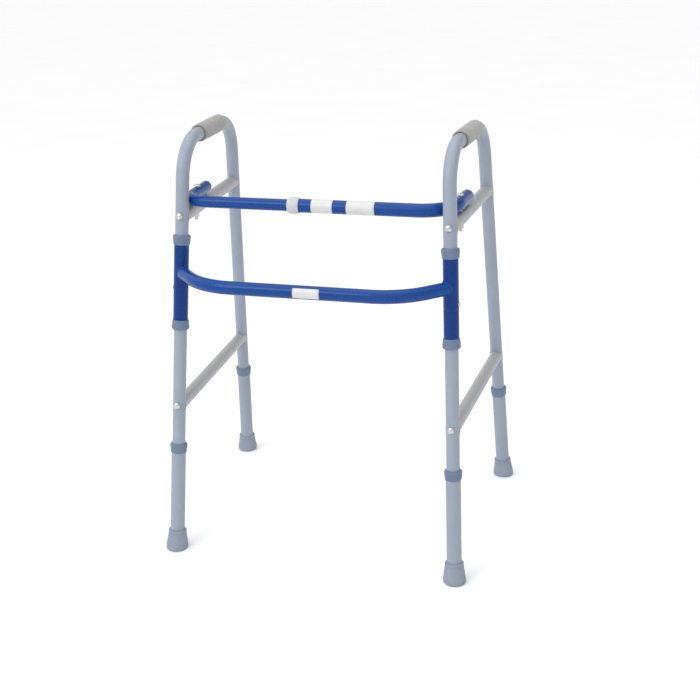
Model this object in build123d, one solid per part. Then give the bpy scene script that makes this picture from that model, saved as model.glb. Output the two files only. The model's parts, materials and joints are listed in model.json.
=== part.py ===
from build123d import *
from math import asin, cos, radians, sin, tan
import os

# Folding walking frame, millimetres. +Z is up and the floor is Z = 0. X runs across the frame and Y runs
# from the front legs to the rear legs. The origin is on the floor, midway between the four feet.

# ---- stance ----
TRACK = 570.9  # between the front feet, centre to centre at the floor
DEPTH = 476.1  # front foot to rear foot, along a side frame at the floor
RAKE = 6.96  # degrees that each leg leans towards the other leg of its side frame
SPLAY = 2.76  # degrees that each side frame leans inwards towards the top
TOE_OUT = 2.73  # degrees that each side frame opens towards the rear
HANDLE_HEIGHT = 809.0  # axis of the hand rail, measured up the side frame
HANDLE_BEND = 77.0  # radius of the two bends of the side tube

# ---- tubes ----
LEG_R = 12.7
LEG_WALL = 1.2
LEG_END = 30.0  # where the side tube ends inside the leg extension, measured up the leg from the floor
EXT_R = 14.3  # leg extension and hinge sleeve
SLIP_R = 12.8  # bore that runs on the side tube
BRACE_R = 12.7
BRACE_WALL = 1.2
BRACE_PLUG = 38.0  # solid end of a brace, from the leg axis
SADDLE_WALL = 0.8  # half-round saddle on the end of a brace
SADDLE_HEIGHT = 17.0
UPPER_BRACE = 669.3
LOWER_BRACE = 299.4
BAR_R = 12.7
BAR_WALL = 1.2
INNER_BAR_R = 11.1
INNER_BAR_CLEARANCE = 0.1

# ---- front bars ----
LOWER_BAR_Z = 563.0
LOWER_BAR_BOW = 78.0  # how far the middle of the lower bar stands forward of the leg axes
LOWER_BAR_STRAIGHT = 187.0  # half the distance between its two corners
LOWER_BAR_BEND = 126.0
UPPER_BAR_Z = 696.1
UPPER_BAR_SETBACK = 8.8  # middle of the upper bar, behind the leg axes
OUTER_BAR_BEND = 67.0
INNER_BAR_BEND = 48.0
PIN_SETBACK = 80.0  # hinge pin behind the front leg axis, square to the leg
TAIL_END = 218.6  # where the bar's tail ends, rearwards along the side frame from the front foot
CAP_HEIGHT = 6.0  # domed cap on the end of the tail
CAP_PLUG = 14.0
OUTER_BAR_END = -36.0  # X of the open end of the outer tube
INNER_BAR_END = 35.0  # X of the hidden end of the inner tube
LOCK_START = -48.2  # X of the lock collar's left face
LOCK_LENGTH = 21.7

# ---- sleeves, collars, feet ----
SLEEVE_BOTTOM = 456.0
SLEEVE_TOP = 640.0
COLLAR_R = 17.0
COLLAR_HEIGHT = 19.0
LIP = 6.0  # height of the collar's lip, which runs on the side tube
LEG_COLLAR_TOP = 224.0
FOOT_R = 21.8
FOOT_TOP_R = 18.0
FOOT_HEIGHT = 40.5
FOOT_ROUNDING = 3.5
FOOT_RING = 7.0  # height of the ring round its mouth
FOOT_SOLE = 6.0  # rubber under the end of the leg extension
FIT = 0.05  # gap between pieces that are pressed or clamped together

# ---- grips ----
GRIP_R = 16.7
GRIP_START = 183.0
GRIP_END = 306.0

# ---- fasteners and snap clips ----
BOLT_R = 3.0
BOLT_HEAD_R = 6.5
BOLT_HEAD_HEIGHT = 4.5
BOLT_SEAT = 1.2  # the shaped washer under a brace bolt's head stands this far off the leg
BOLT_RISE = 3.5  # how far the brace bolts sit above the axis of their brace
BOLT_GRIP = 18.0  # how far a brace bolt runs into the solid end of its brace
PIN_R = 3.5
PIN_HEAD_R = 6.5
PIN_HEAD_HEIGHT = 4.8
PIN_BELOW = 12.0  # how far a hinge pin runs out below its brace
NUT_R = 6.2
NUT_HEIGHT = 8.0
BUTTON_R = 4.0
BUTTON_S = 189.0  # snap button, measured up the leg
HEIGHT_TRAVEL = 100.0  # how far the leg extensions slide out
BUTTON_HOLE_R = 4.08
SLOT_R = 4.6
SCREW_S = 538.0  # sleeve screw, measured up the leg

SIDES = {"left": -1, "right": 1}
LEGS = ("front", "rear")


def side_plane(side):
    """Plane of a side frame: x runs rearwards, y up the frame, z is its normal. Origin at the front foot."""
    rearwards = Vector(side * sin(radians(TOE_OUT)), cos(radians(TOE_OUT)), 0)
    upwards = Vector(-side * tan(radians(SPLAY)), 0, 1)
    origin = (side * TRACK / 2, -DEPTH * cos(radians(TOE_OUT)) / 2, 0)
    return Plane(origin=origin, x_dir=rearwards, z_dir=rearwards.cross(upwards))


def leg_plane(side, leg):
    """Plane across a leg at the floor: z runs up the leg and x points rearwards in the side frame."""
    frame = side_plane(side)
    lean = radians(RAKE) if leg == "front" else -radians(RAKE)
    foot = frame.origin + frame.x_dir * (0 if leg == "front" else DEPTH)
    up_leg = frame.x_dir * sin(lean) + frame.y_dir * cos(lean)
    rearwards = frame.x_dir * cos(lean) - frame.y_dir * sin(lean)
    return Plane(origin=foot, x_dir=rearwards, z_dir=up_leg)


def leg_x(leg, height):
    """Where a leg's axis is, rearwards along the side frame, at a height up the frame."""
    inset = tan(radians(RAKE)) * height
    return inset if leg == "front" else DEPTH - inset


def bolt_place(leg, height):
    """Where a brace bolt crosses a leg's axis, for the brace at a height up the frame."""
    return Pos(leg_x(leg, height + BOLT_RISE), height + BOLT_RISE, 0)


def rod(radius, low, high):
    """Round bar along Z."""
    return Pos(0, 0, low) * Cylinder(radius, high - low, align=(Align.CENTER, Align.CENTER, Align.MIN))


def tube(radius, bore, low, high):
    """Round tube along Z."""
    return rod(radius, low, high) - rod(bore, low - 1, high + 1)


def swept_tube(path, radius, bore):
    """Hollow tube along a planar path."""
    section = Plane(origin=path @ 0, z_dir=path % 0)
    ring = section * (Circle(radius) - Circle(bore)) if bore else section * Circle(radius)
    return sweep(ring, path=path)


def turned(points):
    """Solid turned about Z from an outline of (radius, height) points."""
    outline = make_face(Plane.XZ * Polyline(*points, close=True))
    return revolve(outline, Axis.Z)


def button_head(radius, height):
    """Low domed head, with its seat on Z = 0 and a spherical dome towards +Z."""
    rim = 0.35 * height
    rise = height - rim
    ball = (radius**2 + rise**2) / (2 * rise)
    half = asin(radius / ball) / 2
    crown = (ball * sin(half), height - ball + ball * cos(half))
    outline = Polyline((0, height), (0, 0), (radius, 0), (radius, rim)) + ThreePointArc(
        (radius, rim), crown, (0, height))
    return revolve(Plane.XZ * make_face(outline), Axis.Z)


def bolt(length, shank=BOLT_R, head=BOLT_HEAD_R, height=BOLT_HEAD_HEIGHT):
    """Bolt along Z with its head's seat on Z = 0 and its shank running down to -length."""
    return button_head(head, height) + rod(shank, -length, 0.5)


# ---- side frames ----
def side_tube(side):
    """One bent tube: front leg, hand rail and rear leg, with bolt holes and slots for the snap clips."""
    foot_height = LEG_END * cos(radians(RAKE))
    corners = [(leg_x("front", foot_height), foot_height), (leg_x("front", HANDLE_HEIGHT), HANDLE_HEIGHT),
               (leg_x("rear", HANDLE_HEIGHT), HANDLE_HEIGHT), (leg_x("rear", foot_height), foot_height)]
    body = swept_tube(FilletPolyline(*corners, radius=HANDLE_BEND), LEG_R, LEG_R - LEG_WALL)
    for height in (UPPER_BRACE, LOWER_BRACE):
        for leg in LEGS:
            hole = Rot(0, 90, 0) * rod(BOLT_R + FIT, -LEG_R - 4, LEG_R + 4)
            body -= bolt_place(leg, height) * hole
    body = side_plane(side).location * body
    for leg in LEGS:
        slot_top = BUTTON_S + 1
        slot_low = BUTTON_S - HEIGHT_TRAVEL - 1
        slot = Pos(LEG_R, 0, (slot_top + slot_low) / 2) * Box(LEG_R, 2 * SLOT_R, slot_top - slot_low)
        for end in (slot_top, slot_low):
            slot += Pos(LEG_R / 2, 0, end) * (Rot(0, 90, 0) * rod(SLOT_R, 0, LEG_R))
        body -= leg_plane(side, leg).location * slot
    return body


def grip(side):
    """Foam sleeve on the straight of the hand rail."""
    sleeve_on_rail = Pos(GRIP_START, HANDLE_HEIGHT, 0) * Rot(0, 90, 0) * tube(
        GRIP_R, LEG_R + FIT, 0, GRIP_END - GRIP_START)
    return side_plane(side).location * sleeve_on_rail


def brace(side, height):
    """Cross tube of a side frame, with a half-round saddle against each leg and a solid end for the bolt."""
    front, rear = leg_x("front", height), leg_x("rear", height)
    span = rear - front
    along = Pos(front, height, 0) * Rot(0, 90, 0)
    body = along * (rod(BRACE_R, 2, span - 2) - rod(BRACE_R - BRACE_WALL, BRACE_PLUG, span - BRACE_PLUG))
    for leg in LEGS:
        inwards = 1 if leg == "front" else -1
        lean = Pos(leg_x(leg, height), height, 0) * Rot(0, 0, -RAKE * inwards) * Rot(-90, 0, 0)
        cuff = rod(LEG_R + SADDLE_WALL, -SADDLE_HEIGHT / 2, SADDLE_HEIGHT / 2)
        body += lean * (cuff & Pos(inwards * LEG_R, 0, 0) * Box(2 * LEG_R, 4 * LEG_R, SADDLE_HEIGHT))
        body -= lean * rod(LEG_R + FIT, -2 * BRACE_R, 2 * BRACE_R)
        bolt_hole = rod(BOLT_R + FIT, LEG_R - 2, LEG_R + BOLT_GRIP + 3)
        body -= bolt_place(leg, height) * Rot(0, 90 * inwards, 0) * bolt_hole
    return body


def hinge_pin_place(side):
    """Axis of the hinge pin: along the front leg, behind it, through the middle of the upper brace."""
    plane = leg_plane(side, "front")
    brace_s = UPPER_BRACE / cos(radians(RAKE)) + PIN_SETBACK * tan(radians(RAKE))
    return Plane(origin=plane.origin + plane.x_dir * PIN_SETBACK + plane.z_dir * brace_s,
                 x_dir=plane.x_dir, z_dir=plane.z_dir)


def side_brace(side, height):
    """Brace in its place; the upper one is drilled for the hinge pin of the front bar."""
    body = side_plane(side).location * brace(side, height)
    if height == UPPER_BRACE:
        body -= hinge_pin_place(side).location * rod(PIN_R + FIT, -2 * BRACE_R, 2 * BRACE_R)
    return body


def brace_bolts(side):
    """Four bolts, each through a leg into the end of a brace, with a head that sits on the outside of the leg."""
    group = []
    for height in (UPPER_BRACE, LOWER_BRACE):
        for leg in LEGS:
            outwards = -1 if leg == "front" else 1
            centre = bolt_place(leg, height)
            lean = Rot(0, 0, RAKE * outwards) * Rot(-90, 0, 0)
            turn = Rot(0, 90 * outwards, 0)
            seat = LEG_R + BOLT_SEAT
            skirt = centre * turn * rod(BOLT_HEAD_R, LEG_R - 3, seat + 0.2)
            skirt -= centre * lean * rod(LEG_R + FIT, -30, 30)
            piece = skirt + centre * turn * Pos(0, 0, seat) * bolt(seat + LEG_R + BOLT_GRIP)
            group.append(side_plane(side).location * piece)
    return Compound(children=group)


# ---- leg extensions ----
def leg_extension(side, leg):
    """Outer tube that slides on the end of the side tube, with the hole for its snap button."""
    body = tube(EXT_R, SLIP_R, FOOT_SOLE, LEG_COLLAR_TOP - LIP)
    body -= Pos(LEG_R, 0, BUTTON_S) * (Rot(0, 90, 0) * rod(BUTTON_HOLE_R, -4, 6))
    return leg_plane(side, leg).location * body


def collar(low, lip_at_top):
    """Moulded ring over the end of a tube, with a lip that closes the gap to the side tube inside it."""
    height = COLLAR_HEIGHT
    outline = [(EXT_R + FIT, 0), (COLLAR_R - 1.9, 0), (COLLAR_R - 1.2, 0.8), (COLLAR_R - 0.2, height - 8),
               (COLLAR_R, height - 6), (COLLAR_R, height - 3), (COLLAR_R - 0.8, height - 1),
               (COLLAR_R - 2.2, height), (SLIP_R + FIT, height), (SLIP_R + FIT, height - LIP + FIT),
               (EXT_R + FIT, height - LIP + FIT)]
    ring = turned(outline)
    if not lip_at_top:
        ring = Pos(0, 0, height) * (Rot(180, 0, 0) * ring)
    return Pos(0, 0, low) * ring


def foot(side, leg):
    """Rubber ferrule: flared, with a ring round its mouth, cut level with the floor and rounded there."""
    wall_r = EXT_R + FIT
    top = FOOT_HEIGHT
    neck = top - FOOT_RING
    outline = [(0, -6), (FOOT_R, -6), (FOOT_R, 8), (FOOT_R - 0.6, 12), (FOOT_TOP_R, neck - 0.8),
               (FOOT_TOP_R - 0.5, neck), (FOOT_TOP_R + 0.1, neck + 1), (FOOT_TOP_R, top - 1.5),
               (FOOT_TOP_R - 1.2, top), (wall_r, top), (wall_r, FOOT_SOLE - FIT), (0, FOOT_SOLE - FIT)]
    body = leg_plane(side, leg).location * turned(outline)
    origin = leg_plane(side, leg).origin
    body -= Pos(origin.X, origin.Y, -50) * Box(100, 100, 100)
    sole = body.faces().sort_by(Axis.Z)[0]
    return fillet(sole.edges(), FOOT_ROUNDING)


def snap_clip(side, leg):
    """Spring leaf folded inside the leg, with the domed button that locks the leg's height."""
    leaf, back, fold = 10.3, -6.8, BUTTON_S - 34
    half = 0.4
    outline = [(leaf + half, BUTTON_S + 6), (leaf + half, BUTTON_S - 12), (4.5 + half, fold),
               (0.8, fold - 4), (-2 - half, fold), (back - half, BUTTON_S + 2), (back + half, BUTTON_S + 2),
               (-2 + half, fold), (0.8, fold - 2.4), (4.5 - half, fold), (leaf - half, BUTTON_S - 12),
               (leaf - half, BUTTON_S + 6)]
    spring = extrude(make_face(Plane.XZ * Polyline(*outline, close=True)), amount=3.5, both=True)
    top = EXT_R + 2.8
    button = rod(BUTTON_R, leaf, top - 1.6) + Pos(0, 0, top - 1.6) * button_head(BUTTON_R, 1.6)
    return leg_plane(side, leg).location * (spring + Pos(0, 0, BUTTON_S) * (Rot(0, 90, 0) * button))


# ---- front frame ----
def sleeve(side):
    """Tube that turns on the front leg; the lower bar is welded to it."""
    body = tube(EXT_R, SLIP_R, SLEEVE_BOTTOM + LIP, SLEEVE_TOP - LIP)
    outwards = -side
    body -= Pos(0, outwards * EXT_R, SCREW_S) * (Rot(-90 * outwards, 0, 0) * rod(2.5, -6, 6))
    return leg_plane(side, "front").location * body


def sleeve_screw(side):
    """Screw in the outer wall of the sleeve."""
    outwards = -side
    screw = button_head(4.5, 2.6) + rod(2.45, -1.3, 0.5)
    place = Pos(0, outwards * (EXT_R + 0.1), SCREW_S) * Rot(-90 * outwards, 0, 0)
    return leg_plane(side, "front").location * (place * screw)


def leg_point(side, z):
    """Point on a front leg's axis at a height above the floor."""
    plane = leg_plane(side, "front")
    return plane.origin + plane.z_dir * (z / plane.z_dir.Z)


def lower_bar():
    """Cross bar, bowed forwards between the two sleeves, with its ends coped to them."""
    end = leg_point(1, LOWER_BAR_Z)
    middle_y = end.Y - LOWER_BAR_BOW
    corners = [(-end.X, end.Y, LOWER_BAR_Z), (-LOWER_BAR_STRAIGHT, middle_y, LOWER_BAR_Z),
               (LOWER_BAR_STRAIGHT, middle_y, LOWER_BAR_Z), (end.X, end.Y, LOWER_BAR_Z)]
    body = swept_tube(FilletPolyline(*corners, radius=LOWER_BAR_BEND), BAR_R, BAR_R - BAR_WALL)
    for side in SIDES.values():
        body -= leg_plane(side, "front").location * rod(EXT_R + FIT, SLEEVE_BOTTOM, SLEEVE_TOP)
    return body


def bar_line_y():
    """Y of the upper bar's straight run."""
    return leg_point(1, UPPER_BAR_Z).Y + UPPER_BAR_SETBACK


def tail_point(side, along):
    """Point on the bar's tail line, rearwards along the side frame from the front foot."""
    frame = side_plane(side)
    return frame.origin + frame.x_dir * along + frame.y_dir * (UPPER_BAR_Z / frame.y_dir.Z)


def upper_bar_half(side, radius, bore, bend, free_end):
    """Half of the upper bar: a straight run, a bend behind the leg and a tail over the brace."""
    reach = (bar_line_y() - tail_point(side, 0).Y) / side_plane(side).x_dir.Y
    corners = [Vector(free_end, bar_line_y(), UPPER_BAR_Z), tail_point(side, reach), tail_point(side, TAIL_END)]
    corners = [(point.X, point.Y) for point in corners]
    path = Pos(0, 0, UPPER_BAR_Z) * FilletPolyline(*corners, radius=bend)
    body = swept_tube(path, radius, bore)
    return body - hinge_pin_place(side).location * rod(PIN_R + FIT, 0, 80)


def outer_bar():
    """Right half of the upper bar: the larger tube."""
    return upper_bar_half(1, BAR_R, INNER_BAR_R + INNER_BAR_CLEARANCE, OUTER_BAR_BEND, OUTER_BAR_END)


def inner_bar():
    """Left half of the upper bar: the smaller tube, which slides in the other."""
    return upper_bar_half(-1, INNER_BAR_R, INNER_BAR_R - BAR_WALL, INNER_BAR_BEND, INNER_BAR_END)


def end_cap(side):
    """Domed cap with a plug that closes the tail."""
    radius = BAR_R if side > 0 else INNER_BAR_R
    bore = INNER_BAR_R + INNER_BAR_CLEARANCE if side > 0 else INNER_BAR_R - BAR_WALL
    cap = Pos(0, 0, FIT) * button_head(radius, CAP_HEIGHT) + rod(bore - FIT, -CAP_PLUG, 1)
    return Plane(origin=tail_point(side, TAIL_END), z_dir=side_plane(side).x_dir).location * cap


def lock_collar():
    """Twist collar over the mouth of the outer tube."""
    tube_r, slip_r = BAR_R + 0.1, INNER_BAR_R + INNER_BAR_CLEARANCE
    mouth = OUTER_BAR_END - LOCK_START - 0.3
    barrel = [(BAR_R + 1.6, 1), (BAR_R + 2.4, 3.5), (BAR_R + 2.7, 7), (BAR_R + 2.8, LOCK_LENGTH / 2)]
    mirrored = [(radius, LOCK_LENGTH - along) for radius, along in reversed(barrel[:-1])]
    outline = [(slip_r, 0), (BAR_R + 0.8, 0), *barrel, *mirrored, (BAR_R + 1.0, LOCK_LENGTH),
               (tube_r, LOCK_LENGTH), (tube_r, mouth), (slip_r, mouth)]
    return Pos(LOCK_START, bar_line_y(), UPPER_BAR_Z) * (Rot(0, 90, 0) * turned(outline))


# ---- hinge pins of the upper bar ----
def pin_heights(side):
    """Along the pin from the brace's axis: top of the brace, underside and top of the bar's tail."""
    pin = hinge_pin_place(side)
    radius = BAR_R if side > 0 else INNER_BAR_R
    middle = (UPPER_BAR_Z - pin.origin.Z) / pin.z_dir.Z
    lean = 1 / cos(radians(RAKE))
    return BRACE_R * lean, middle - radius * lean, middle + radius * lean


def brace_clearance(side):
    """Upper brace as a solid bar with a fit all round, for cutting the nut that sits on it."""
    front = leg_x("front", UPPER_BRACE)
    bar = Pos(front, UPPER_BRACE, 0) * (Rot(0, 90, 0) * rod(BRACE_R + FIT, 10, 200))
    return side_plane(side).location * bar


def hinge_nut(side):
    """Nut under the brace, with a seat that fits its curve."""
    nut = extrude(RegularPolygon(NUT_R, 6), amount=NUT_HEIGHT) - rod(PIN_R + FIT, -1, NUT_HEIGHT + 1)
    low = -BRACE_R - 0.75 * NUT_HEIGHT
    return hinge_pin_place(side).location * (Pos(0, 0, low) * nut) - brace_clearance(side)


def hinge_bolt(side):
    """Pin with its head on the bar's tail. The left one ends at the tail's underside."""
    _, under, over = pin_heights(side)
    seat = over + PIN_HEAD_R * tan(radians(RAKE)) + 0.1
    low = -BRACE_R - PIN_BELOW if side > 0 else under
    return hinge_pin_place(side).location * (Pos(0, 0, seat) * bolt(seat - low, PIN_R, PIN_HEAD_R, PIN_HEAD_HEIGHT))


def hinge_stud(side):
    """Stud in the brace that carries the left end of the bar. It ends at the top of the brace."""
    top, _, _ = pin_heights(side)
    return hinge_pin_place(side).location * rod(PIN_R, -BRACE_R - PIN_BELOW, top)


def write(name, shape):
    shape.label = name
    export_step(shape, f"parts/{name}.step")


def main():
    os.makedirs("parts", exist_ok=True)
    for name, side in SIDES.items():
        write(f"{name}_side_tube", side_tube(side))
        write(f"{name}_hand_grip", grip(side))
        write(f"{name}_upper_brace", side_brace(side, UPPER_BRACE))
        write(f"{name}_lower_brace", side_brace(side, LOWER_BRACE))
        write(f"{name}_brace_bolts", brace_bolts(side))
        write(f"{name}_hinge_nut", hinge_nut(side))
        place = leg_plane(side, "front").location
        write(f"{name}_sleeve", sleeve(side))
        write(f"{name}_sleeve_upper_collar", place * collar(SLEEVE_TOP - COLLAR_HEIGHT, True))
        write(f"{name}_sleeve_lower_collar", place * collar(SLEEVE_BOTTOM, False))
        write(f"{name}_sleeve_screw", sleeve_screw(side))
        for leg in LEGS:
            write(f"{name}_{leg}_leg_extension", leg_extension(side, leg))
            ring = collar(LEG_COLLAR_TOP - COLLAR_HEIGHT, True)
            write(f"{name}_{leg}_leg_collar", leg_plane(side, leg).location * ring)
            write(f"{name}_{leg}_foot", foot(side, leg))
            write(f"{name}_{leg}_snap_clip", snap_clip(side, leg))
    write("lower_front_bar", lower_bar())
    write("upper_bar_outer_tube", outer_bar())
    write("upper_bar_inner_tube", inner_bar())
    write("upper_bar_lock_collar", lock_collar())
    write("upper_bar_outer_end_cap", end_cap(1))
    write("upper_bar_inner_end_cap", end_cap(-1))
    for name, side in SIDES.items():
        write(f"{name}_hinge_bolt", hinge_bolt(side))
    write("left_hinge_stud", hinge_stud(-1))


main()
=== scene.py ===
"""Looks for the folding walking frame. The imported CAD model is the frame, and everything is in metres."""

import json
from math import cos, pi, radians, sin, sqrt

import bmesh
import bpy
from mathutils import Matrix, Vector, noise

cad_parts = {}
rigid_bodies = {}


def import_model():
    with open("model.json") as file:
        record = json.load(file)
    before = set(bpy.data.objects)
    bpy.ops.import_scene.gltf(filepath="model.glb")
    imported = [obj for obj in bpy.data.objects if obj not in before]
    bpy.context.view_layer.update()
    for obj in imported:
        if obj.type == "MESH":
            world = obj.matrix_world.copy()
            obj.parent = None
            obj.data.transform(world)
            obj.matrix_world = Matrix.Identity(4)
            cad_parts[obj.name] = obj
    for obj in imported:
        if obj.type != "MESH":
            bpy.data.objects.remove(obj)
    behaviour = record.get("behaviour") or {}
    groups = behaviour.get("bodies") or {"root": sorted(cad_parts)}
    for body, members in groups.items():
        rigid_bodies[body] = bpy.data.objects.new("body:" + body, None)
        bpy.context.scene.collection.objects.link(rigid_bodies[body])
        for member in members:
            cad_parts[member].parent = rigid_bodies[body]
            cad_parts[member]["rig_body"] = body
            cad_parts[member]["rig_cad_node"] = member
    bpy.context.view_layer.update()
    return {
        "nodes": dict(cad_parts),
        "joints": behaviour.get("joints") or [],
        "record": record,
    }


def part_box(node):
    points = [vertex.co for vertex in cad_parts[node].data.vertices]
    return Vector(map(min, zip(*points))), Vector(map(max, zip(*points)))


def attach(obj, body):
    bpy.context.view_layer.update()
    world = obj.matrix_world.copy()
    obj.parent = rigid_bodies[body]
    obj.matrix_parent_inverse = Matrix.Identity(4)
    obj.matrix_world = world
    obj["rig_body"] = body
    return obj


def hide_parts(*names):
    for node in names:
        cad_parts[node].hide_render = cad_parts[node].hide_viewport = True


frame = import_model()
nodes = frame["nodes"]
joints = {joint["name"]: joint for joint in frame["joints"]}
MM = 0.001

SIDES = {"left": -1, "right": 1}

# ---- sizes that match the CAD model ----
SLEEVE_R = 14.3 * MM
BAR_R = 12.7 * MM
LOWER_BAR_STRAIGHT = 187.0 * MM  # half the distance between the lower bar's two corners


# ---- materials ----
class Shader:
    """A node material built round one Principled shader, with textures in the object's own metres."""

    def __init__(self, name, roughness, metallic=0.0, **constants):
        self.material = bpy.data.materials.new(name)
        self.material.use_nodes = True
        self.nodes = self.material.node_tree.nodes
        self.links = self.material.node_tree.links
        self.shader = self.nodes["Principled BSDF"]
        self.set("Roughness", roughness)
        self.set("Metallic", metallic)
        for socket, value in constants.items():
            self.set(socket.replace("_", " "), value)
        self.place = self.nodes.new("ShaderNodeTexCoord").outputs["Object"]
        self.height = None

    def set(self, socket, value):
        self.shader.inputs[socket].default_value = value

    def noise(self, scale, detail=3.0, roughness=0.5, stretch=None):
        """Noise between 0 and 1, with about `scale` features to the metre."""
        texture = self.nodes.new("ShaderNodeTexNoise")
        texture.inputs["Scale"].default_value = scale
        texture.inputs["Detail"].default_value = detail
        texture.inputs["Roughness"].default_value = roughness
        place = self.place
        if stretch:
            mapping = self.nodes.new("ShaderNodeMapping")
            mapping.inputs["Scale"].default_value = stretch
            self.links.new(place, mapping.inputs["Vector"])
            place = mapping.outputs["Vector"]
        self.links.new(place, texture.inputs["Vector"])
        return texture.outputs["Fac"]

    def cells(self, scale):
        """Distance to the nearest cell centre, for pores and grain."""
        texture = self.nodes.new("ShaderNodeTexVoronoi")
        texture.inputs["Scale"].default_value = scale
        self.links.new(self.place, texture.inputs["Vector"])
        return texture.outputs["Distance"]

    def spread(self, value, low, high, start=0.3, end=0.7):
        """Maps a texture from start..end to low..high."""
        node = self.nodes.new("ShaderNodeMapRange")
        for socket, number in (("From Min", start), ("From Max", end), ("To Min", low), ("To Max", high)):
            node.inputs[socket].default_value = number
        self.links.new(value, node.inputs["Value"])
        return node.outputs["Result"]

    def blend(self, factor, dark, light):
        """Colour between two colours by a texture."""
        node = self.nodes.new("ShaderNodeMix")
        node.data_type = "RGBA"
        self.links.new(factor, node.inputs["Factor"])
        for index, colour in ((6, dark), (7, light)):
            if hasattr(colour, "is_output"):
                self.links.new(colour, node.inputs[index])
            else:
                node.inputs[index].default_value = (*colour, 1)
        return node.outputs[2]

    def colour(self, output):
        self.links.new(output, self.shader.inputs["Base Color"])
        return self

    def rough(self, output):
        self.links.new(output, self.shader.inputs["Roughness"])
        return self

    def bump(self, output, distance, strength=1.0):
        """Adds a relief of that depth in metres; several add up."""
        node = self.nodes.new("ShaderNodeBump")
        node.inputs["Distance"].default_value = distance
        node.inputs["Strength"].default_value = strength
        self.links.new(output, node.inputs["Height"])
        if self.height:
            self.links.new(self.height, node.inputs["Normal"])
        self.height = node.outputs["Normal"]
        self.links.new(self.height, self.shader.inputs["Normal"])
        return self


def linear(*display_colour):
    """Linear colour of a red, green and blue that are given as 0 to 255."""
    return tuple(
        ((c / 255 + 0.055) / 1.055) ** 2.4 if c > 10 else c / 255 / 12.92
        for c in display_colour
    )


def shade(colour, factor):
    """The colour made darker, or lighter where the factor is above 1."""
    return tuple(c * factor for c in colour)


def powder_coat(name, colour, roughness, coat, peel, specular=0.5):
    """Baked paint: relief with about `peel` features to the metre, uneven gloss and a few pale scuffs."""
    s = Shader(name, roughness, Coat_Weight=coat, Coat_Roughness=0.12, Specular_IOR_Level=specular)
    patches = s.spread(s.noise(9, 4), 0, 1)
    scuffs = s.spread(s.noise(60, 8, 0.7, stretch=(1, 1, 0.25)), 0, 1, 0.56, 0.72)
    base = s.blend(patches, shade(colour, 0.95), shade(colour, 1.03))
    s.colour(s.blend(scuffs, base, shade(colour, 1.08)))
    s.rough(s.spread(s.noise(35, 6, 0.6), roughness - 0.05, roughness + 0.07))
    s.bump(s.noise(peel, 2), 0.00006, 0.5)
    s.bump(s.noise(peel * 3.5, 2), 0.00002, 0.35)
    return s.material


def satin_silver(name, colour):
    """Silver lacquer over drawn tube: metal flake and faint lines along the tube."""
    s = Shader(name, 0.42, metallic=0.25, Coat_Weight=0.1, Coat_Roughness=0.3)
    flake = s.spread(s.noise(2600, 2), 0, 1)
    drawn = s.spread(s.noise(500, 3, 0.6, stretch=(1, 0.03, 1)), 0, 1)
    base = s.blend(flake, shade(colour, 0.93), shade(colour, 1.05))
    s.colour(s.blend(drawn, base, shade(colour, 0.96)))
    s.rough(s.spread(s.noise(45, 5), 0.38, 0.5))
    s.bump(s.noise(700, 3, stretch=(1, 0.05, 1)), 0.00003, 0.4)
    return s.material


def moulded(name, colour, roughness=0.45, grain=1800, depth=0.00004):
    """Moulded plastic with spark-eroded grain and faint flow marks."""
    s = Shader(name, roughness, Specular_IOR_Level=0.45)
    flow = s.spread(s.noise(55, 5, 0.6), 0, 1)
    s.colour(s.blend(flow, shade(colour, 0.92), shade(colour, 1.05)))
    s.rough(s.spread(s.noise(120, 4), roughness - 0.06, roughness + 0.08))
    s.bump(s.noise(grain, 2), depth, 0.6)
    return s.material


def foam(name, colour):
    """Closed-cell foam: fine pores with painted shade in their pits, mottled colour and a soft sheen."""
    s = Shader(name, 0.88, Specular_IOR_Level=0.25, Sheen_Weight=0.35, Sheen_Roughness=0.5)
    mottle = s.spread(s.noise(140, 6, 0.65), 0, 1)
    pore_shade = s.spread(s.cells(900), 0, 1, 0.05, 0.45)
    base = s.blend(mottle, shade(colour, 0.88), shade(colour, 1.06))
    # Painted shade: the pores are coloured darker exactly where the cell bump sinks them into pits.
    s.colour(s.blend(pore_shade, shade(colour, 0.62), base))
    s.bump(s.cells(900), 0.0003, 0.55)
    s.bump(s.noise(160, 4), 0.0006, 0.35)
    return s.material


def rubber(name, colour):
    """Matt rubber, slightly chalky, dustier where it is worn."""
    s = Shader(name, 0.62, Specular_IOR_Level=0.35)
    chalk = s.spread(s.noise(75, 7, 0.65), 0, 1)
    dust = s.spread(s.noise(420, 4, 0.6), 0, 1, 0.5, 0.8)
    base = s.blend(chalk, shade(colour, 0.9), shade(colour, 1.05))
    s.colour(s.blend(dust, base, shade(colour, 1.12)))
    s.rough(s.spread(s.noise(90, 5), 0.55, 0.74))
    s.bump(s.noise(1500, 3), 0.00006, 0.6)
    return s.material


def bright_metal(name, colour, roughness=0.24):
    """Zinc-plated steel with fine turning marks and slight tarnish."""
    s = Shader(name, roughness, metallic=1.0)
    tarnish = s.spread(s.noise(500, 5, 0.6), 0, 1)
    s.colour(s.blend(tarnish, shade(colour, 0.8), colour))
    s.rough(s.spread(s.noise(900, 4), roughness - 0.06, roughness + 0.14))
    s.bump(s.noise(2500, 2), 0.00002, 0.5)
    return s.material


def vinyl(name, colour):
    """Self-adhesive vinyl: smooth, with a faint ripple and a little ageing."""
    s = Shader(name, 0.34, Coat_Weight=0.25, Coat_Roughness=0.2)
    age = s.spread(s.noise(70, 5), 0, 1)
    s.colour(s.blend(age, shade(colour, 0.93), colour))
    s.rough(s.spread(s.noise(150, 4), 0.28, 0.42))
    s.bump(s.noise(220, 3), 0.0001, 0.3)
    return s.material


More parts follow.
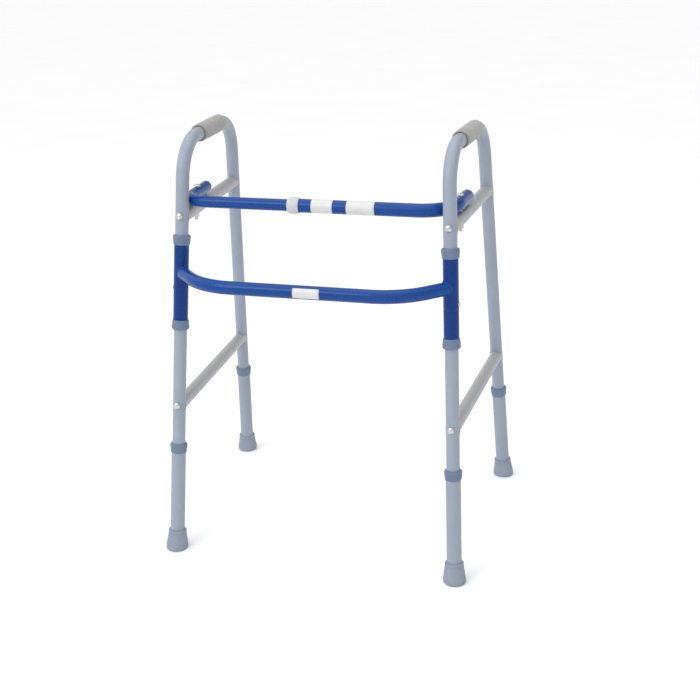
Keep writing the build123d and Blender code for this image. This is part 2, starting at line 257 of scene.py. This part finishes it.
TUBE_GREY = linear(145, 154, 170)
BAR_BLUE = linear(2, 64, 138)
SLEEVE_BLUE = linear(2, 51, 120)
COLLAR_SLATE = linear(100, 119, 143)
BRACE_SILVER = linear(166, 167, 169)
LOCK_GREY = linear(192, 194, 197)
GRIP_TAUPE = linear(150, 148, 142)
FOOT_GREY = linear(138, 148, 163)
ZINC = (0.66, 0.65, 0.63)
LABEL_WHITE = linear(210, 211, 210)

materials = {
    "side_tube": powder_coat("tube_powder_coat", TUBE_GREY, roughness=0.42, coat=0.12, peel=700),
    "leg_extension": powder_coat(
        "extension_powder_coat", shade(TUBE_GREY, 0.98), roughness=0.4, coat=0.15, peel=700
    ),
    "front_bar": powder_coat(
        "bar_blue_powder_coat", BAR_BLUE, roughness=0.24, coat=0.12, peel=600, specular=0.22
    ),
    "sleeve": powder_coat(
        "sleeve_blue_powder_coat", SLEEVE_BLUE, roughness=0.26, coat=0.1, peel=600, specular=0.2
    ),
    "brace": satin_silver("brace_silver", BRACE_SILVER),
    "collar": moulded("collar_slate_plastic", COLLAR_SLATE),
    "lock_collar": moulded("lock_collar_plastic", LOCK_GREY, roughness=0.5, grain=1200, depth=0.00008),
    "end_cap": moulded("end_cap_blue_plastic", BAR_BLUE, roughness=0.35),
    "grip": foam("grip_foam", GRIP_TAUPE),
    "foot": rubber("foot_rubber", FOOT_GREY),
    "fastener": bright_metal("zinc_plate", ZINC),
    "snap_clip": bright_metal("spring_steel", ZINC, roughness=0.2),
    "label": vinyl("label_vinyl", LABEL_WHITE),
}


def paint_cad_nodes():
    """Gives every CAD node the finish of its record slot."""
    for entry in frame["record"]["subparts"]:
        piece = nodes[entry["node"]]
        piece.data.materials.clear()
        piece.data.materials.append(materials[entry["material_slot"]])


# ---- new pieces ----
def new_piece(name, mesh_data, slot, finish=None):
    """Object from a bmesh, with its material slot and smooth shading."""
    mesh = bpy.data.meshes.new(name)
    bmesh.ops.recalc_face_normals(mesh_data, faces=mesh_data.faces)
    mesh_data.to_mesh(mesh)
    mesh_data.free()
    mesh.shade_smooth()
    piece = bpy.data.objects.new(name, mesh)
    bpy.context.scene.collection.objects.link(piece)
    mesh.materials.append(materials[finish or slot])
    return piece


def apply_modifiers(piece):
    """Bakes the piece's modifiers into its mesh."""
    graph = bpy.context.evaluated_depsgraph_get()
    mesh = bpy.data.meshes.new_from_object(piece.evaluated_get(graph))
    piece.modifiers.clear()
    piece.data = mesh


GRIP_VOXEL = 1.3 * MM
GRIP_CROWN = 0.45 * MM  # how far the middle of a grip stands proud of its ends
GRIP_INSET = 0.15 * MM  # how far the whole skin is drawn in before the crown and the dents
GRIP_DENT = 0.35 * MM
FINE_DENT = 0.4 * GRIP_DENT
DENTS_PER_METRE = 70
FINE_DENTS_PER_METRE = 260


def hand_grip(side_name):
    """Foam grip: the CAD sleeve with soft ends, a slight crown and the dents of use."""
    node = f"{side_name}_hand_grip"
    low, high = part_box(node)
    piece = nodes[node].copy()
    piece.data = nodes[node].data.copy()
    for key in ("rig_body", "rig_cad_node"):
        del piece[key]
    piece.parent = None
    piece.name = f"{side_name}_foam_grip"
    bpy.context.scene.collection.objects.link(piece)
    remesh = piece.modifiers.new("cells", "REMESH")
    remesh.mode = "VOXEL"
    remesh.voxel_size = GRIP_VOXEL
    soften = piece.modifiers.new("soften", "SMOOTH")
    soften.factor = 0.6
    soften.iterations = 6
    apply_modifiers(piece)
    mesh = piece.data
    moves = []
    for vertex in mesh.vertices:
        along = (vertex.co.y - low.y) / (high.y - low.y) * 2 - 1
        crown = GRIP_CROWN * (1 - along**6)
        dent = GRIP_DENT * noise.noise(vertex.co * DENTS_PER_METRE)
        dent += FINE_DENT * noise.noise(vertex.co * FINE_DENTS_PER_METRE)
        moves.append(vertex.normal * (crown + dent - GRIP_INSET))
    for vertex, move in zip(mesh.vertices, moves):
        vertex.co += move
    mesh.materials.clear()
    mesh.materials.append(materials["grip"])
    mesh.shade_smooth()
    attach(piece, f"{side_name}_side_frame")
    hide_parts(node)


LABEL_GAP = 0.06 * MM
LABEL_THICKNESS = 0.14 * MM
LABEL_CORNER = 1.6 * MM  # how far the rounded corners set the label's ends in
CORNER_SHARE = 0.06  # part of the label's turn that each rounded corner takes up
LABEL_STEPS_ROUND = 40
LABEL_STEPS_ALONG = 12

# Where the labels end in X, and how far they turn round the bar, from the top towards the front.
UPPER_LABELS = {"upper_label_short": (-2.0 * MM, 38.5 * MM), "upper_label_long": (64.7 * MM, 117.5 * MM)}
UPPER_LABEL_TURNS = (radians(-100), radians(190))
LOWER_LABEL_ENDS = (-9.3 * MM, 40.5 * MM)
LOWER_LABEL_TURNS = (radians(40), radians(130))


def label(name, body, axis_y, axis_z, ends, turns):
    """Blank vinyl label wrapped on a bar that runs along X, between two ends and two turns."""
    start, end = ends
    turn_from, turn_to = turns
    shape = bmesh.new()
    layers = []
    for layer in (LABEL_GAP, LABEL_GAP + LABEL_THICKNESS):
        lift = BAR_R + layer
        rows = []
        for i in range(LABEL_STEPS_ROUND + 1):
            turn = turn_from + (turn_to - turn_from) * i / LABEL_STEPS_ROUND
            edge = min(i, LABEL_STEPS_ROUND - i) / LABEL_STEPS_ROUND
            inset = 0
            if edge < CORNER_SHARE:
                inset = LABEL_CORNER * (1 - sqrt(1 - (1 - edge / CORNER_SHARE) ** 2))
            row = []
            for j in range(LABEL_STEPS_ALONG + 1):
                x = start + inset + (end - start - 2 * inset) * j / LABEL_STEPS_ALONG
                row.append(shape.verts.new((x, axis_y - lift * sin(turn), axis_z + lift * cos(turn))))
            rows.append(row)
        layers.append(rows)
    inner, outer = layers
    for rows in layers:
        for i in range(LABEL_STEPS_ROUND):
            for j in range(LABEL_STEPS_ALONG):
                shape.faces.new((rows[i][j], rows[i][j + 1], rows[i + 1][j + 1], rows[i + 1][j]))
    for j in range(LABEL_STEPS_ALONG):
        for i in (0, LABEL_STEPS_ROUND):
            shape.faces.new((inner[i][j], inner[i][j + 1], outer[i][j + 1], outer[i][j]))
    for i in range(LABEL_STEPS_ROUND):
        for j in (0, LABEL_STEPS_ALONG):
            shape.faces.new((inner[i][j], inner[i + 1][j], outer[i + 1][j], outer[i][j]))
    piece = new_piece(name, shape, "lock_collar", "label")
    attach(piece, body)


def middle(node):
    """Centre of a CAD node's box."""
    low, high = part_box(node)
    return (low + high) / 2


def upper_labels():
    """Two white wraps on the outer tube of the upper bar, which has the lock collar's axis."""
    centre = middle("upper_bar_lock_collar")
    for name, ends in UPPER_LABELS.items():
        label(name, "upper_bar_outer", centre.y, centre.z, ends, UPPER_LABEL_TURNS)


def lower_label():
    """White label on the front of the lower bar."""
    low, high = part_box("lower_front_bar")
    axis_y = low.y + BAR_R
    axis_z = (low.z + high.z) / 2
    label("lower_label", "front_frame", axis_y, axis_z, LOWER_LABEL_ENDS, LOWER_LABEL_TURNS)


WELD_R = 1.9 * MM
WELD_ROOT = 0.7 * MM  # how deep the bead reaches into the sleeve's wall
WELD_STEPS = 96
WELD_SIDES = 10
WELD_RIPPLES = 26
RIPPLE_DEPTH = 0.16  # share of the bead's radius
WELD_UNEVENNESS = 0.12  # share of the bead's radius
LUMPS_PER_METRE = 400


def along_to_sleeve(point, direction, on_axis, axis):
    """Where a line from point first meets the sleeve's surface."""
    offset = (point - on_axis) - axis * (point - on_axis).dot(axis)
    run = direction - axis * direction.dot(axis)
    a, b, c = run.dot(run), 2 * offset.dot(run), offset.dot(offset) - SLEEVE_R**2
    root = max(b * b - 4 * a * c, 0.0)
    return point + direction * ((-b - sqrt(root)) / (2 * a))


def clear_of_leg(point, on_axis, axis):
    """The point, moved out from the sleeve's axis if it lies deeper in the wall than the bead reaches."""
    nearest = on_axis + axis * (point - on_axis).dot(axis)
    arm = point - nearest
    return nearest + arm.normalized() * max(arm.length, SLEEVE_R - WELD_ROOT)


def crossing_line(side_name):
    """Points where the lower bar's surface meets a sleeve, then the bar's way there and the sleeve's axis."""
    side = SIDES[side_name]
    fold = joints[f"{side_name}_fold"]
    up = Vector(fold["axis"]).normalized() * side
    on_leg = Vector(fold["pos_m"])
    low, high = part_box("lower_front_bar")
    height = (low.z + high.z) / 2
    centre = on_leg + up * ((height - on_leg.z) / up.z)
    corner = Vector((side * LOWER_BAR_STRAIGHT, low.y + BAR_R, height))
    outward = (centre - corner).normalized()
    across = outward.cross(Vector((0, 0, 1))).normalized()
    rise = across.cross(outward).normalized()
    ring = []
    for i in range(WELD_STEPS):
        turn = 2 * pi * i / WELD_STEPS
        rim = corner + (across * cos(turn) + rise * sin(turn)) * BAR_R
        ring.append(along_to_sleeve(rim, outward, centre, up))
    return ring, outward, centre, up


def weld_bead(side_name):
    """Weld bead where the lower bar meets the sleeve: a rippled ring along the line where the tubes cross."""
    ring, outward, centre, up = crossing_line(side_name)
    shape = bmesh.new()
    loops = []
    for i, point in enumerate(ring):
        tangent = (ring[(i + 1) % WELD_STEPS] - ring[i - 1]).normalized()
        first = tangent.cross(outward).normalized()
        second = tangent.cross(first)
        ripple = 1 + RIPPLE_DEPTH * sin(i * 2 * pi * WELD_RIPPLES / WELD_STEPS)
        ripple += WELD_UNEVENNESS * noise.noise(point * LUMPS_PER_METRE)
        loop = []
        for k in range(WELD_SIDES):
            turn = 2 * pi * k / WELD_SIDES
            surface = point + (first * cos(turn) + second * sin(turn)) * WELD_R * ripple
            loop.append(shape.verts.new(clear_of_leg(surface, centre, up)))
        loops.append(loop)
    for i in range(WELD_STEPS):
        here, after = loops[i], loops[(i + 1) % WELD_STEPS]
        for k in range(WELD_SIDES):
            beside = (k + 1) % WELD_SIDES
            shape.faces.new((here[k], here[beside], after[beside], after[k]))
    piece = new_piece(f"{side_name}_weld_bead", shape, "front_bar")
    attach(piece, "front_frame")


# ---- stage ----
def floor():
    """Plain pale floor."""
    shape = bmesh.new()
    bmesh.ops.create_grid(shape, x_segments=8, y_segments=8, size=40)
    mesh = bpy.data.meshes.new("floor")
    shape.to_mesh(mesh)
    shape.free()
    ground = bpy.data.objects.new("floor", mesh)
    bpy.context.scene.collection.objects.link(ground)
    s = Shader("floor_paper", 0.9, Specular_IOR_Level=0.1)
    paper = s.spread(s.noise(3, 3), 0, 1)
    s.colour(s.blend(paper, (0.93, 0.93, 0.93), (0.95, 0.95, 0.95)))
    mesh.materials.append(s.material)


def area_light(name, place, aim, size, power):
    """White soft box at a place, turned towards its aim."""
    lamp = bpy.data.lights.new(name, "AREA")
    lamp.shape = "RECTANGLE"
    lamp.size, lamp.size_y = size
    lamp.energy = power
    holder = bpy.data.objects.new(name, lamp)
    holder.location = place
    holder.rotation_euler = (Vector(aim) - Vector(place)).to_track_quat("-Z", "Y").to_euler()
    bpy.context.scene.collection.objects.link(holder)


# The room's light rises with the cosine of the angle to the bright way.
BRIGHT_WAY = Vector((-0.36, -0.26, 0.9)).normalized()
DIM_COSINE, BRIGHT_COSINE = -0.2, 1.0
DIM_LIGHT, BRIGHT_LIGHT = 0.16, 1.45

# Low down it is pale: fully so up to the first sine of the height, and not at all from the second.
HORIZON_LIGHT = 0.93
HORIZON_FULL, HORIZON_GONE = 0.16, 0.34


def room():
    """Room light: pale round the horizon, dimmer above it, brightest overhead to the front and left."""
    world = bpy.data.worlds.new("room")
    bpy.context.scene.world = world
    world.use_nodes = True
    tree = world.node_tree
    direction = tree.nodes.new("ShaderNodeTexCoord")
    nearness = tree.nodes.new("ShaderNodeVectorMath")
    nearness.operation = "DOT_PRODUCT"
    nearness.inputs[1].default_value = BRIGHT_WAY
    split = tree.nodes.new("ShaderNodeSeparateXYZ")
    dome = tree.nodes.new("ShaderNodeMapRange")
    band = tree.nodes.new("ShaderNodeMapRange")
    ramps = (
        (dome, (DIM_COSINE, BRIGHT_COSINE, DIM_LIGHT, BRIGHT_LIGHT)),
        (band, (HORIZON_FULL, HORIZON_GONE, HORIZON_LIGHT, 0.0)),
    )
    for ramp, numbers in ramps:
        for socket, number in zip(("From Min", "From Max", "To Min", "To Max"), numbers):
            ramp.inputs[socket].default_value = number
    larger = tree.nodes.new("ShaderNodeMath")
    larger.operation = "MAXIMUM"
    tree.links.new(direction.outputs["Generated"], nearness.inputs[0])
    tree.links.new(direction.outputs["Generated"], split.inputs["Vector"])
    tree.links.new(nearness.outputs["Value"], dome.inputs["Value"])
    tree.links.new(split.outputs["Z"], band.inputs["Value"])
    tree.links.new(dome.outputs["Result"], larger.inputs[0])
    tree.links.new(band.outputs["Result"], larger.inputs[1])
    background = tree.nodes["Background"]
    background.inputs["Color"].default_value = (1.0, 1.0, 1.0, 1)
    tree.links.new(larger.outputs["Value"], background.inputs["Strength"])


def lights():
    """Room light, with a soft box in front on the left and one overhead."""
    room()
    area_light("key", place=(-1.4, -2.4, 2.6), aim=(0, 0, 0.5), size=(1.6, 1.2), power=22)
    area_light("top", place=(0.2, 0.3, 3.2), aim=(0, 0, 0.4), size=(2.4, 2.4), power=14)


CAMERA_PLACE = (0.6369, -2.1449, 1.1980)
CAMERA_YAW, CAMERA_DIP, CAMERA_ROLL = radians(16.0), radians(20.5), radians(-1.48)
CAMERA_LENS = 60.07


def camera():
    """Camera in front on the right, looking down on the frame."""
    data = bpy.data.cameras.new("camera")
    data.lens = CAMERA_LENS
    data.sensor_width = 36
    data.clip_end = 200
    eye = bpy.data.objects.new("camera", data)
    bpy.context.scene.collection.objects.link(eye)
    ahead = Vector((-sin(CAMERA_YAW) * cos(CAMERA_DIP), cos(CAMERA_YAW) * cos(CAMERA_DIP), -sin(CAMERA_DIP)))
    right = Vector((cos(CAMERA_YAW), sin(CAMERA_YAW), 0))
    up = right.cross(ahead)
    turned_right = right * cos(CAMERA_ROLL) + up * sin(CAMERA_ROLL)
    turned_up = up * cos(CAMERA_ROLL) - right * sin(CAMERA_ROLL)
    turned = Matrix((turned_right, turned_up, -ahead)).transposed()
    eye.matrix_world = Matrix.Translation(CAMERA_PLACE) @ turned.to_4x4()
    bpy.context.scene.camera = eye


# ---- build ----
paint_cad_nodes()
for side_name in SIDES:
    hand_grip(side_name)
    weld_bead(side_name)
upper_labels()
lower_label()
floor()
lights()
camera()
bpy.context.scene.view_settings.view_transform = "Standard"
